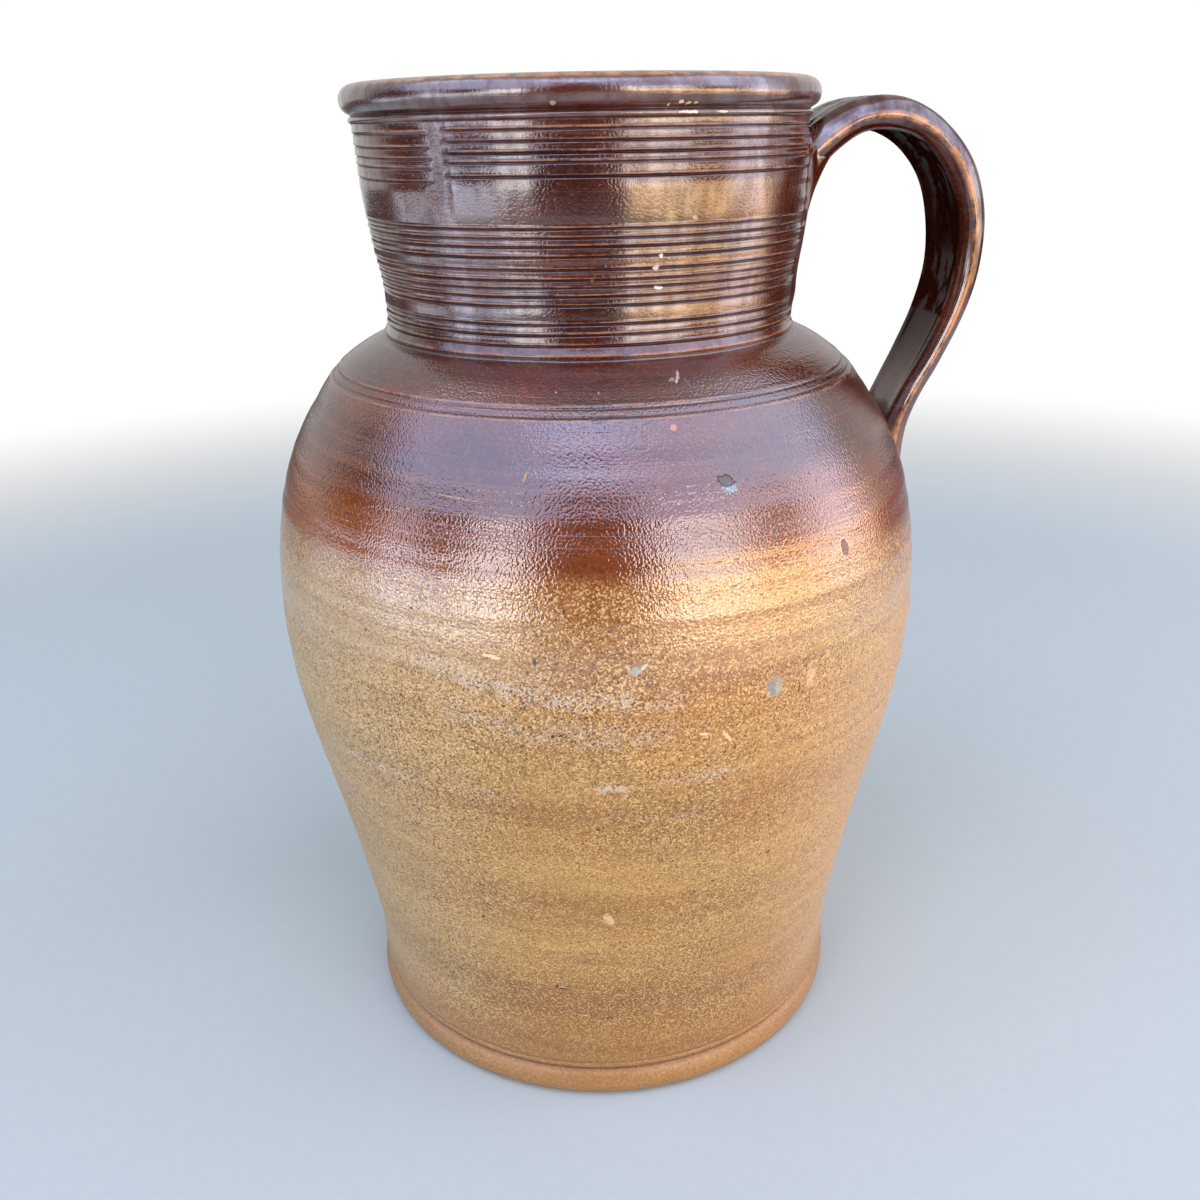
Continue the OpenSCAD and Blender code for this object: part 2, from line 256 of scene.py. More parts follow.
# Points at a radius, an angle and a height of the leaning jug
def onJug(radius, angle, z, shift=0):
    lean = -relief["lean"] * ease(relief["leanFrom"], tall, z)
    points = np.stack([radius * np.cos(angle), radius * np.sin(angle), z + shift], 2)
    return points + lean[..., None] * np.array(relief["leanWay"])

def outerRow(z0):
    angle, z = np.meshgrid(columns, z0)
    push, grooves, crests = outerRelief(angle, z)
    return onJug(outerRadius(z) + push, angle, z, lineShift(angle, z)), grooves, crests

# The inside, with the throwing rings that the fingers left
def innerRow(z0):
    angle, z = np.meshgrid(columns, z0)
    rings = 0.3 * coil(angle, z, 9.5) * between(z, 20, 40, 270, 285)
    corner = 4 * (1 - ease(10, 17, z)) ** 2
    return onJug(innerRadius(z) + rings - corner, angle, z)

def ringRow(radius, z):
    radius, z = np.broadcast_arrays(np.atleast_1d(radius), np.atleast_1d(z))
    return onJug(radius[:, None], *np.meshgrid(columns, z))

def gridNormals(rows):
    around = np.roll(rows, -1, 1) - np.roll(rows, 1, 1)
    return unit(np.cross(around, np.gradient(rows, axis=0)))


# Meshes from rows of rings. An open one gets a flat face over each end.
def meshFromRows(name, rows, normals, values, closed):
    count, across = rows.shape[:2]
    i, j = np.arange(count if closed else count - 1)[:, None], np.arange(across)
    here, above, after = i * across, (i + 1) % count * across, (j + 1) % across
    quads = np.stack([here + j, here + after, above + after, above + j], 2).reshape(-1, 4)
    corners, starts = quads.ravel(), np.arange(len(quads)) * 4
    if not closed:
        starts = np.append(starts, [len(corners), len(corners) + across])
        corners = np.concatenate([corners, j[::-1], (count - 1) * across + j])
    mesh = bpy.data.meshes.new(name)
    mesh.vertices.add(count * across)
    mesh.vertices.foreach_set("co", (rows * mm).astype(np.float32).ravel())
    mesh.loops.add(len(corners))
    mesh.loops.foreach_set("vertex_index", corners.astype(np.int32))
    mesh.polygons.add(len(starts))
    mesh.polygons.foreach_set("loop_start", starts.astype(np.int32))
    mesh.update(calc_edges=True)
    mesh.polygons.foreach_set("use_smooth", np.ones(len(starts), bool))
    for key, value in values.items():
        layer = mesh.attributes.new(key, "FLOAT", "POINT")
        layer.data.foreach_set("value", np.asarray(value, np.float32).ravel())
    mesh.normals_split_custom_set_from_vertices(normals.reshape(-1, 3))
    mesh.update()
    return addObject(name, mesh)

def dress(piece, node, material):
    piece.data.materials.append(material)
    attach(piece, "root")
    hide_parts(node)
    print("made", piece.name, len(piece.data.polygons), "faces")


# Shader helpers. A Signal is a node's output, ready for plain arithmetic.
class Signal:
    def __init__(self, socket):
        self.socket, self.tree = socket, socket.id_data

    def __add__(self, other):
        return sums("ADD", self, other)

    def __sub__(self, other):
        return sums("SUBTRACT", self, other)

    def __mul__(self, other):
        return sums("MULTIPLY", self, other)

    def __truediv__(self, other):
        return sums("DIVIDE", self, other)

    def __rtruediv__(self, other):
        return sums("DIVIDE", other, self)

    def __abs__(self):
        return sums("ABSOLUTE", self)

# A web colour to linear light
def colour(text):
    parts = [int(text[i:i + 2], 16) / 255 for i in (1, 3, 5)]
    return tuple(p / 12.92 if p <= 0.04045 else ((p + 0.055) / 1.055) ** 2.4 for p in parts) + (1,)

# Links a signal to a socket, or writes a number or a web colour into it
def feed(socket, value):
    value = value.socket if isinstance(value, Signal) else value
    if isinstance(value, bpy.types.NodeSocket):
        socket.id_data.links.new(value, socket)
    else:
        socket.default_value = colour(value) if isinstance(value, str) else value

def feedAll(sockets, values):
    for label, value in values.items():
        feed(sockets[label], value)

def addNode(tree, kind, *values):
    node = tree.nodes.new("ShaderNode" + kind)
    for socket, value in zip(node.inputs, values):
        feed(socket, value)
    return node

def sums(operation, *values):
    tree = next(value.tree for value in values if isinstance(value, Signal))
    node = addNode(tree, "Math", *values)
    node.operation = operation
    return Signal(node.outputs[0])

def timesPlus(value, factor, more):
    return sums("MULTIPLY_ADD", value, factor, more)

def larger(a, b):
    return sums("MAXIMUM", a, b)

# A smooth step between two limits, with the values there if they aren't 0 and 1
def eased(value, *limits):
    node = addNode(value.tree, "MapRange", value, *limits)
    node.interpolation_type = "SMOOTHSTEP"
    return Signal(node.outputs[0])

def blend(amount, a, b):
    node = amount.tree.nodes.new("ShaderNodeMix")
    node.data_type = "RGBA"
    feedAll(node.inputs, {0: amount, 6: a, 7: b})
    return Signal(node.outputs[2])

# Colours of one dictionary laid over a base, each by its own amount
def layered(base, shades, layers):
    for amount, name in layers:
        base = blend(amount, base, shades[name])
    return base

def split(vector):
    return [Signal(socket) for socket in addNode(vector.tree, "SeparateXYZ", vector).outputs]

def join(*parts):
    return Signal(addNode(parts[0].tree, "CombineXYZ", *parts).outputs[0])

# Squashes space so that noise lies in rings
def stretch(vector, across, up, tilt=0):
    x, y, z = split(vector)
    return join(x * across, y * across, timesPlus(x, tilt, z) * up)

def cloudy(vector, scale, detail=2, rough=0.5):
    node = vector.tree.nodes.new("ShaderNodeTexNoise")
    feedAll(node.inputs, {"Vector": vector, "Scale": scale, "Detail": detail, "Roughness": rough})
    return Signal(node.outputs[0])

def ringed(vector, across, up, detail=3, rough=0.65, tilt=0):
    return cloudy(stretch(vector, across, up, tilt), 1, detail, rough)

# Round cells of a size in millimetres: distance from the middle, and two chances for each cell
def cellular(vector, size):
    node = vector.tree.nodes.new("ShaderNodeTexVoronoi")
    feedAll(node.inputs, {"Vector": vector, "Scale": 1000 / size})
    chances = addNode(vector.tree, "SeparateColor", node.outputs["Color"]).outputs
    return Signal(node.outputs["Distance"]), Signal(chances[0]), Signal(chances[1])

# Each group takes a Vector and numbers, and gives numbers and maybe a Colour
def startGroup(name, gives, **takes):
    tree = bpy.data.node_groups.new(name, "ShaderNodeTree")
    tree.interface.new_socket("Vector", in_out="INPUT", socket_type="NodeSocketVector")
    for label, value in takes.items():
        socket = tree.interface.new_socket(label, in_out="INPUT", socket_type="NodeSocketFloat")
        socket.default_value = value
    for label in gives:
        kind = "NodeSocketColor" if label == "Colour" else "NodeSocketFloat"
        tree.interface.new_socket(label, in_out="OUTPUT", socket_type=kind)
    sockets = tree.nodes.new("NodeGroupInput").outputs
    return {socket.name: Signal(socket) for socket in sockets if socket.name}

def finishGroup(given, **gives):
    tree = given["Vector"].tree
    feedAll(tree.nodes.new("NodeGroupOutput").inputs, gives)
    return tree

def useGroup(group, **values):
    node = values["Vector"].tree.nodes.new("ShaderNodeGroup")
    node.node_tree = group
    feedAll(node.inputs, values)
    return {socket.name: Signal(socket) for socket in node.outputs}

def clearTree(owner):
    owner.use_nodes = True
    owner.node_tree.nodes.clear()
    return owner.node_tree

def startMaterial(name):
    material = bpy.data.materials.new(name)
    return material, Signal(clearTree(material).nodes.new("ShaderNodeTexCoord").outputs["Object"])

def finishMaterial(material, sockets, bumps, strength):
    tree = material.node_tree
    bump = tree.nodes.new("ShaderNodeBump")
    feedAll(bump.inputs, {"Strength": strength, "Distance": mm, "Height": bumps})
    shader = tree.nodes.new("ShaderNodeBsdfPrincipled")
    feedAll(shader.inputs, {**sockets, "Normal": bump.outputs[0]})
    addNode(tree, "OutputMaterial", shader.outputs[0])
    return material


# Pebbled salt skin: small domes for the height, and two chances for each dome's colour; Sparkle marks the
# domes that carry a painted glint
def makeSaltSkin():
    given = startGroup("saltSkin", ["Pebble", "Sparkle", "Chance"], Grain=1)
    far, sparkle, chance = cellular(given["Vector"], given["Grain"])
    pebble = timesPlus(far * far, -2.2, 1)
    return finishGroup(given, Pebble=pebble, Sparkle=eased(sparkle, 0.62, 0.9), Chance=chance)

# Fine lines left by turning on the wheel
def makeTurnedLines():
    given = startGroup("turnedLines", ["Lines", "Scores"], Spacing=2, Tilt=0.02)
    rings = stretch(given["Vector"], 9, 1000 / given["Spacing"], given["Tilt"])
    scores = eased(abs(cloudy(rings, 0.45, 1, 0.4) - 0.5), 0, 0.022, 1, 0)
    return finishGroup(given, Lines=cloudy(rings, 1, 3, 0.6), Scores=scores)

# Edge of the iron dip and the toasted flush just under it
def makeDipEdge():
    given = startGroup("dipEdge", ["Dip", "Flush", "Above"], Level=186, Drop=7, Soft=3, Wander=3)
    x, y, z = split(given["Vector"])
    level = given["Level"] - eased(x, 0.045, 0.1) * given["Drop"]
    wave = ringed(given["Vector"], 22, 40, 2, 0.5) - 0.5
    above = timesPlus(wave, given["Wander"], z * 1000 - level)
    dip = eased(above, given["Soft"] * -1, given["Soft"])
    flush = eased(above, -13, 1) * eased(above, 0, 9, 1, 0)
    return finishGroup(given, Dip=dip, Flush=flush, Above=above)

# Iron specks burst through the clay
def makeIronSpecks():
    given = startGroup("ironSpecks", ["Specks"], Spacing=6, Size=0.7, Share=0.4)
    far, chance, size = cellular(given["Vector"], given["Spacing"])
    reach = given["Size"] / given["Spacing"] * timesPlus(size, 0.8, 0.35)
    spot = eased(far, reach * 0.5, reach, 1, 0)
    return finishGroup(given, Specks=spot * sums("LESS_THAN", chance, given["Share"]))

# One chip, pit or scratch at an angle and a height on the jug
def makeChipMark():
    given = startGroup("chipMark", ["Mark", "Lip"], Angle=-90, Height=100, Across=2, Up=2,
                       Turn=0, Ragged=0.5, Fray=0.5)
    x, y, z = split(given["Vector"])
    angle, turn = sums("RADIANS", given["Angle"]), sums("RADIANS", given["Turn"])
    ca, sa, ct, st = (sums(way, value) for value in (angle, turn) for way in ("COSINE", "SINE"))
    u = (y * ca - x * sa) * 1000
    v = timesPlus(z, 1000, given["Height"] * -1)
    a = (u * ct + v * st) / given["Across"]
    b = (v * ct - u * st) / given["Up"]
    edge = timesPlus(given["Fray"] - 0.5, given["Ragged"] * 2.6, sums("SQRT", a * a + b * b))
    here = sums("GREATER_THAN", x * ca + y * sa, 0)
    lip = eased(edge, 0.8, 1.15) * eased(edge, 1.15, 1.5, 1, 0)
    return finishGroup(given, Mark=eased(edge, 0.75, 1.05, 1, 0) * here, Lip=lip * here)

saltSkin, turnedLines, dipEdge = makeSaltSkin(), makeTurnedLines(), makeDipEdge()
ironSpecks, chipMark = makeIronSpecks(), makeChipMark()


# The jug's glaze: iron dip above, toasted ochre below, wear on crests, pooled glaze and painted shade in
# grooves
glaze = {
    "dipDeep": "#38130b", "dipWarm": "#59220f", "dipEdge": "#86461a", "dipWorn": "#bb8355",
    "dipPoolAndShade": "#1f0a06", "lining": "#4c2c1c", "frost": "#b9b4aa", "foot": "#805730", "speckle": "#4e3017",
    "ochre": "#8f6835", "ochrePale": "#ab864b", "ochreDark": "#7d5528", "ochreGrey": "#8c774c",
    "flush": "#87511f", "paintedLeftSheen": "#a9956f", "paintedRightSheen": "#c1a683", "paintedGlint": "#d5b078",
    "dipLevel": 186.5, "dipDrop": 7.5, "peel": 0.76, "grain": 0.44,
}

# Salt frost: thin drifts, and two arcs on the side that the photograph shows
def makeFrost(place, x, y, height, chance):
    drifts = eased(ringed(place, 16, 110), 0.55, 0.72) * eased(chance, 0.35, 0.1)
    drifts = drifts * (eased(height, 100, 125) * eased(height, 150, 172, 1, 0))
    aside = x * 1000
    arc = height - timesPlus(aside * aside, 0.0021, 154.4)
    arcs = eased(abs(arc), 0.8, 4.5, 0.72, 0) + eased(abs(arc + 10), 1, 6, 0.42, 0)
    span = eased(aside, 18, -5) * eased(aside, -62, -48) * sums("LESS_THAN", y, 0)
    salted = eased(chance, 0.62, 0.25) * eased(cloudy(place, 260, 2), 0.36, 0.56)
    return larger(drifts, arcs * span * salted)

def makeJugGlaze():
    given = startGroup("jugGlaze", ["Colour", "Rough", "Height", "Shine"],
                       Groove=0, Crest=0, Inside=0, Wear=0.45)
    place, groove = given["Vector"], given["Groove"]
    dip = useGroup(dipEdge, Vector=place, Level=glaze["dipLevel"], Drop=glaze["dipDrop"],
                   Soft=3.2, Wander=4.5)
    skin = useGroup(saltSkin, Vector=place, Grain=glaze["peel"])
    fine = useGroup(saltSkin, Vector=place, Grain=glaze["grain"])
    lines = useGroup(turnedLines, Vector=place, Spacing=1.5, Tilt=0.022)
    x, y, z = split(place)
    height = z * 1000

    # ochre below the dip: drifting bands, sides painted paler as painted light, the middle painted darker
    # as painted shade, speckle with painted glints, frost
    band = ringed(place, 4, 36, 4, 0.62, 0.05)
    drift = cloudy(place, 14, 2, 0.5)
    lower = eased(height, 176, 146, 0.35, 1)
    grainy = timesPlus(cloudy(place, 26, 1), 1, 0.45) * eased(height, 40, 150, 0.75, 1)
    low = layered(blend(eased(band, 0.38, 0.66), glaze["ochre"], glaze["ochrePale"]), glaze, [
        (eased(band, 0.48, 0.32) * 0.5, "ochreDark"),
        (eased(drift, 0.5, 0.72) * 0.5, "ochreGrey"),
        # painted light: the left side painted paler and greyer, the right side paler and warmer
        (eased(x, -0.03, -0.095, 0, 0.65) * lower, "paintedLeftSheen"),
        (eased(x, 0.025, 0.085, 0, 0.6) * lower, "paintedRightSheen"),
        # painted shade: the middle of the front and back painted darker in the flush colour
        (eased(abs(x), 0.055, 0.015) * eased(height, 110, 175, 0, 0.65), "flush"),
        (dip["Flush"] * 0.75, "flush"),
        (eased(lines["Lines"], 0.52, 0.3, 0, 0.28), "ochreDark"),
        (eased(fine["Chance"], 0.55, 0.98) * grainy * 0.82, "speckle"),
        # painted glints: pale golden dots on random domes
        (fine["Sparkle"] * grainy * 0.7, "paintedGlint"),
        (makeFrost(place, x, y, height, fine["Chance"]) * 0.85, "frost"),
        (eased(height, 32, 8) * 0.6, "foot"),
    ])

    # iron dip: deepest on the neck, thinning to orange brown near its edge
    mottled = ringed(place, 20, 60, 3, 0.55)
    thinning = timesPlus(eased(drift, 0.38, 0.62), 0.5, 0.45)
    high = layered(blend(eased(mottled, 0.35, 0.68), glaze["dipDeep"], glaze["dipWarm"]), glaze, [
        (eased(dip["Above"], 30, 1) * thinning, "dipEdge"),
        (eased(lines["Lines"], 0.52, 0.72) * 0.1, "dipWorn"),
        # painted glints: paler dots on random domes in the dip
        (skin["Sparkle"] * 0.25, "dipEdge"),
        (eased(skin["Chance"], 0.6, 0.98, 0, 0.35), "dipPoolAndShade"),
        (eased(height, 233, 242, 0, 0.4), "dipPoolAndShade"),
    ])

    # wear on ridges, grooves darker with pooled glaze and painted shade, brown lining
    patchy = eased(cloudy(place, 160, 3, 0.65), 0.34, 0.62)
    worn = eased(given["Crest"], 0.35, 0.95) * patchy
    body = layered(blend(dip["Dip"], low, high), glaze, [
        (worn * given["Wear"], "dipWorn"),
        (eased(groove, 0.3, 0.95) * 0.7, "dipPoolAndShade"),
    ])
    streaks = eased(ringed(place, 12, 80, 3, 0.5), 0.35, 0.7)
    body = blend(given["Inside"], body, blend(streaks, glaze["lining"], glaze["dipWarm"]))

    rough = timesPlus(cloudy(place, 60, 3, 0.6) - 0.5, 0.1, eased(height, 146, 186, 0.42, 0.12))
    rough = timesPlus(larger(worn, groove), 0.16, rough)
    bumps = timesPlus(lines["Lines"], 0.07, skin["Pebble"] * 0.034)
    bumps = timesPlus(lines["Scores"], -0.02, bumps)

    # gloss of the coat: it begins on the belt and is uneven on the neck
    shine = timesPlus(dip["Dip"], 0.36, eased(height, jug["belly"], jug["belt"], 0, 0.64))
    uneven = eased(ringed(place, 170, 60), 0.36, 0.6, 0.45, 1)
    shine = shine * larger(uneven, eased(height, 238, 234)) - timesPlus(worn, 0.4, groove * 0.85)
    return finishGroup(given, Colour=body, Rough=larger(rough, 0.1), Height=bumps, Shine=larger(shine, 0))

jugGlaze = makeJugGlaze()

# One glazed finish, with its piece's own wear and marks
def glazedMaterial(name, look, marks=()):
    material, place = startMaterial(name)
    layers = {}
    for key in ("groove", "crest", "inside"):
        node = place.tree.nodes.new("ShaderNodeAttribute")
        node.attribute_name = key
        layers[key.capitalize()] = Signal(node.outputs["Fac"])
    skin = useGroup(jugGlaze, Vector=place, Wear=look["wear"], **layers)
    body, rough, bumps = skin["Colour"], skin["Rough"], skin["Height"]
    fray = cloudy(place, 850, 2, 0.6) if marks else None
    for angle, height, across, up, turn, ragged, tone, *more in marks:
        spot = useGroup(chipMark, Vector=place, Fray=fray, Angle=angle, Height=height,
                        Across=across, Up=up, Turn=turn, Ragged=ragged)
        body = blend(spot["Mark"] * 0.85, body, tone)
        if more and more[0]:   # a deep one is felt
            bumps = timesPlus(spot["Mark"], -more[0], bumps)
            rough = timesPlus(spot["Mark"], 0.45, rough)
        if more[1:]:
            body = blend(spot["Lip"] * 0.45, body, more[1])
    sockets = {"Base Color": body, "Roughness": rough, "IOR": look["ior"]}
    if "coatIor" in look:
        sockets.update({"Coat Weight": skin["Shine"], "Coat IOR": look["coatIor"],
                        "Coat Roughness": look["coatRough"]})
    return finishMaterial(material, sockets, bumps, look["bump"])

print("glaze groups ready")


# Rows of the whole turned surface, so that neighbouring pieces share points and normals
profile = {
    "footRows": [10.25, 10.4, 10.6, 10.9, 11.3, 11.8, 12.2, 12.6, 13, 13.3, 13.6, 14, 14.5, 15,
        15.7, 16.6, 17.6, 19, 20.5],
    "creaseRows": [233.9, 234.1, 234.3, 234.5, 234.65, 234.8, 235],
    "collarRows": [235, 235.15, 235.3, 235.7, 236, 236.2, 236.4, 236.6, 236.9, 294.3],
    "lineSteps": [-1.1, -.75, -.5, -.3, -.15, -.02, .12, .28, .45, .62, .8, 1.05],
    "cornerRows": [22, 20, 18, 16.5, 15, 13.8, 12.8, 12, 11.3, 10.7, 10.3, 10],
    # foot: underside, rounded bead and the groove above it, (radius, height)
    "foot": [(76, 0.05), (78.4, 0), (80.2, 0.22), (81.7, 0.95), (82.8, 2.1), (83.45, 3.7), (83.62, 5.2),
        (83.4, 6.8), (82.9, 8.2), (82.35, 9.1), (81.8, 9.75), (81.15, 10.25)],
    # rim roll: fine second bead, dark line, roll, worn top and mouth, (radius, height)
    "rim": [(67.1, 294.3), (67.75, 294.75), (67.9, 295.35), (67.5, 295.95), (67, 296.35), (67.4, 296.75),
        (68.5, 297.4), (69.45, 298.5), (69.9, 300), (69.9, 301.3), (69.4, 302.8), (68.3, 304.05),
        (66.8, 304.75), (65.2, 304.9), (63.6, 304.7), (61.9, 304.2), (60.7, 303.2), (60.1, 301.6),
        (59.9, 299.5), (59.95, 294.3)],
    "rimJoin": 40, "rimOuter": 62,   # rows of the rim that follow the neck, and that lie outside
}

def lineRows():
    rows = set(profile["collarRows"]) | {round(z, 3) for z in np.arange(235.5, 294.2, 0.9)}
    rows |= {round(line + step, 3) for line, depth in relief["lines"] for step in profile["lineSteps"]}
    kept = [jug["collar"]]
    for z in sorted(rows):
        if z - kept[-1] > 0.09:
            kept.append(z)
    return np.array(kept[:-1] + [jug["rimSeat"]])

shoulderRows = np.concatenate([np.linspace(jug["belly"], 221, 66), np.arange(221.5, 228.6, 0.17),
                               np.linspace(229, 233.6, 6), profile["creaseRows"]])
outerZ = np.concatenate([profile["footRows"], np.linspace(22, jug["belly"], 112)[:-1],
                         np.unique(np.round(shoulderRows, 3))[:-1], lineRows()])
innerZ = np.concatenate([np.linspace(jug["rimSeat"], 236, 60), np.linspace(jug["collar"], 151.5, 60),
                         np.linspace(jug["belly"], 24, 90), profile["cornerRows"]])
footEdge, rimEdge = smoothRow(profile["foot"], 4), smoothRow(profile["rim"], 5)

def buildSurface():
    outer, grooves, crests = outerRow(outerZ)
    footZ, index = footEdge[:, 1], np.arange(len(rimEdge))[:, None]
    gap = outer[0] - ringRow(*footEdge[-1])[0]
    foot = ringRow(footEdge[:, 0], footZ) + ease(4, 10.2, footZ)[:, None, None] * gap
    angle, rimZ = np.meshgrid(columns, rimEdge[:, 1])
    rim = ringRow(rimEdge[:, 0] + jug["skin"], rimEdge[:, 1])
    rim[..., 2] += np.minimum(0.1 * waves(angle, rimZ, 7) - 0.16, 0) * ease(296, 304, rimZ)
    follow = (index < profile["rimJoin"]) * (1 - ease(294.3, 296.2, rimZ))
    rim = rim + follow[..., None] * (outer[-1] - rim[0])
    inner = innerRow(innerZ)
    inner = inner + ease(280, 294.3, innerZ)[:, None, None] * (rim[-1] - inner[0])
    rows = np.concatenate([foot[:-1], outer, rim[1:], inner[1:]])
    rows[..., 2] = np.maximum(rows[..., 2], 0.01)
    base = len(foot) - 1
    first = base + len(outerZ) - 1
    mouth = first + len(rimEdge) - 1
    kinds = {"outer": (base, first), "rim": (first, mouth), "inner": (mouth, len(rows) - 1)}
    groove, crest, inside = (np.zeros(rows.shape[:2]) for k in range(3))
    groove[base:first + 1], crest[base:first + 1], inside[mouth:] = grooves, crests, 1
    outside, rimRows = index < profile["rimOuter"], slice(first, mouth + 1)
    # the crease and the seat line of the rim are darkened: pooled glaze and painted shade
    pooledAndShaded = (hump(rimZ, 296.35, 0.3) + 0.8 * hump(rimZ, 294.35, 0.25)) * outside
    rubbed = (0.55 * hump(rimZ, 295.3, 0.4) + 0.5 * hump(rimZ, 298, 0.8)) * outside
    rubbed += 0.95 * ease(302.9, 304.4, rimZ)
    groove[rimRows] = np.maximum(groove[rimRows], pooledAndShaded)
    crest[rimRows] = np.maximum(crest[rimRows], rubbed)
    inside[rimRows] = ease(58, 74, index)
    # the groove above the foot bead is darkened: pooled glaze and painted shade
    groove[:base] = 0.8 * hump(footZ[:-1, None], 10.3, 0.45)
    # the top of the foot bead is lighter: wear and painted highlight
    crest[:base] = 0.75 * hump(footZ[:-1, None], 8.9, 0.9)
    return rows, gridNormals(rows), {"groove": groove, "crest": crest, "inside": inside}, kinds

surface, surfaceNormals, surfaceValues, kinds = buildSurface()

def rowAt(side, z):
    heightsThere = outerZ if side == "outer" else innerZ
    return kinds[side][0] + int(np.argmin(np.abs(heightsThere - z)))

# One piece of the turned surface, from some stretches of its rows and hidden rows that close it
def slicePiece(name, node, parts, material, hidden=None):
    take = np.concatenate([np.arange(a, b + 1) for a, b in parts])
    rows, normals = surface[take], surfaceNormals[take]
    values = {key: value[take] for key, value in surfaceValues.items()}
    if hidden is not None:
        rows = np.concatenate([rows, hidden])
        normals = np.concatenate([normals, unit(hidden * np.array([-1, -1, 0]))])
        blank = np.zeros(hidden.shape[:2])
        values = {key: np.concatenate([value, blank]) for key, value in values.items()}
    dress(meshFromRows(name, rows, normals, values, True), node, material)


# Finishes of the pieces, and marks placed one by one: angle, height, half width, half height,
# turn, raggedness, colour, and for some a depth and a lip's colour
looks = {
    "wall": {"bump": 1, "ior": 1.5, "wear": 0.4},
    "belt": {"bump": 1, "ior": 1.5, "coatIor": 2, "coatRough": 0.32, "wear": 0.5},
    "shoulder": {"bump": 1.1, "ior": 2.05, "wear": 0.5},
    "neck": {"bump": 0.9, "ior": 1.54, "coatIor": 1.7, "coatRough": 0.18, "wear": 0.5},
    "rim": {"bump": 1, "ior": 1.6, "coatIor": 2, "coatRough": 0.2, "wear": 0.8},
    "handle": {"bump": 0.7, "ior": 1, "coatIor": 2.1, "coatRough": 0.13, "wear": 1},
}
wallMarks = [
    (-65.6, 150.4, .35, 2, -5, .3, "#42301f"), (-77.9, 140.9, .6, 2.6, 35, .8, "#cfba92"),
    (-81.6, 142.8, 1.6, .5, -10, .8, "#cabda0"), (-95.6, 127.9, 4.5, .9, 0, 2.4, "#b3a690"),
    (-76.5, 136.8, .7, .6, 30, .4, "#2a1c14"), (-66, 92.5, .9, .8, 0, .5, "#57442f", .08),
    (-105.4, 45.9, 2.2, .28, -8, .6, "#261b13", .1), (-107, 46.8, .4, .9, -25, .4, "#1b1410", .12),
    (-105.9, 46.7, 1.2, .3, -8, .6, "#b3a68c"), (-120.6, 72.6, .65, .5, 0, .4, "#33221a"),
    (-103.9, 144.6, .6, .4, 10, .4, "#241c28", .08), (-102.8, 145, .7, .35, 30, .4, "#241c28", .08),
    (-97.6, 113.5, .7, .5, 0, .3, "#3c3228"), (-77, 87.5, .8, .4, 20, .4, "#42240f"),
    (-113, 70, .45, .5, 0, .4, "#42280f"), (-78.2, 48.5, .7, .45, 0, .4, "#42280f"),
    (-96, 77, 1.6, 2.6, 25, .9, "#cbae82"), (-96.8, 33, 2.4, .3, 0, .6, "#5c3f22", .08),
    (-101.6, 34.2, 1.8, .3, -5, .6, "#b8a077"),
]
shoulderMarks = [
    (-70.1, 152.9, 2.3, 2.6, 20, .8, "#999c93", .1, "#a8977a"), (-70.6, 153.5, 1.5, 1.8, 0, 2.4, "#75786f"),
    (-63.3, 152.6, 1.3, 2.9, -15, 1.8, "#b9a27a"), (-65.6, 150.4, .35, 2, -5, .3, "#42301f"),
    (-50.7, 153.4, .8, 1.3, -20, 1, "#8b6c40"), (-115.4, 150.6, .45, .4, 0, .3, "#381c16"),
    # painted shadow: the near-black mark at -75.6 degrees fills the chip's hole
    (-75.2, 206.4, 2.3, 1.2, -8, .6, "#6d8088"), (-75.6, 208, 2.4, 1.4, -14, .5, "#070908", .45),
    (-54.7, 185.3, 1.5, 2.4, 15, .3, "#54261c", .22, "#b98a6c"),
    (-108.3, 211, .45, 1.3, -20, .4, "#a06c3a", .08), (-127.6, 204.9, .7, .6, 0, .3, "#3a1415", .08),
    (-119.6, 205.3, 8, .16, -4, .8, "#a07448"), (-82.9, 221, .9, .8, 0, .3, "#b06a30"),
    (-78.9, 231.2, 1.9, .4, 48, .6, "#a5958a", .08), (-80.4, 230.9, 1.2, .35, 15, .6, "#8f7568"),
    (-77.2, 229.6, .5, 1.2, 25, .5, "#3a1a12", .1), (-112.7, 166.6, 2.8, .6, -8, .8, "#e0c48c"),
    # painted shade: the brown mark at -91.4 degrees is the shaded inside of the chip
    (-91.4, 164.3, 2.7, 1.5, 10, .5, "#8d6b4c"), (-90.8, 164, 2.1, .55, 42, .5, "#c3b79c"),
    (-92.9, 164.2, 1.5, .42, -60, .5, "#b9ab8e"), (-91.8, 163.3, 1.7, 1.3, 20, .6, "#959790", .14),
    (-106.2, 165.9, .6, 1.2, 8, .3, "#18111a", .1), (-107.2, 163, .55, .5, 0, .3, "#2c1a16"),
    (-142.9, 162.5, .55, .55, 0, .3, "#33200f"), (-134.6, 167.2, .6, .55, 0, .3, "#33200f"),
    (-125.5, 176.5, .5, .5, 0, .3, "#3a2612"), (-93.8, 158.5, .26, 1.9, 12, .9, "#c9ae86"),
    (-91, 157.8, .28, 1.6, 45, .9, "#c9ae86"), (-61.5, 160.8, 1.4, 1.3, 0, .9, "#a0802f"),
    (-120, 228.5, .24, .2, 0, .3, "#a89890"), (-104.5, 229.2, .24, .2, 0, .3, "#a89890"),
    (-96, 229, .26, .2, 0, .3, "#a89890"), (-52, 195, 2.8, .18, 14, .8, "#b08a78"),
    (-40, 186, .5, .5, 0, .3, "#241412", .08),
]
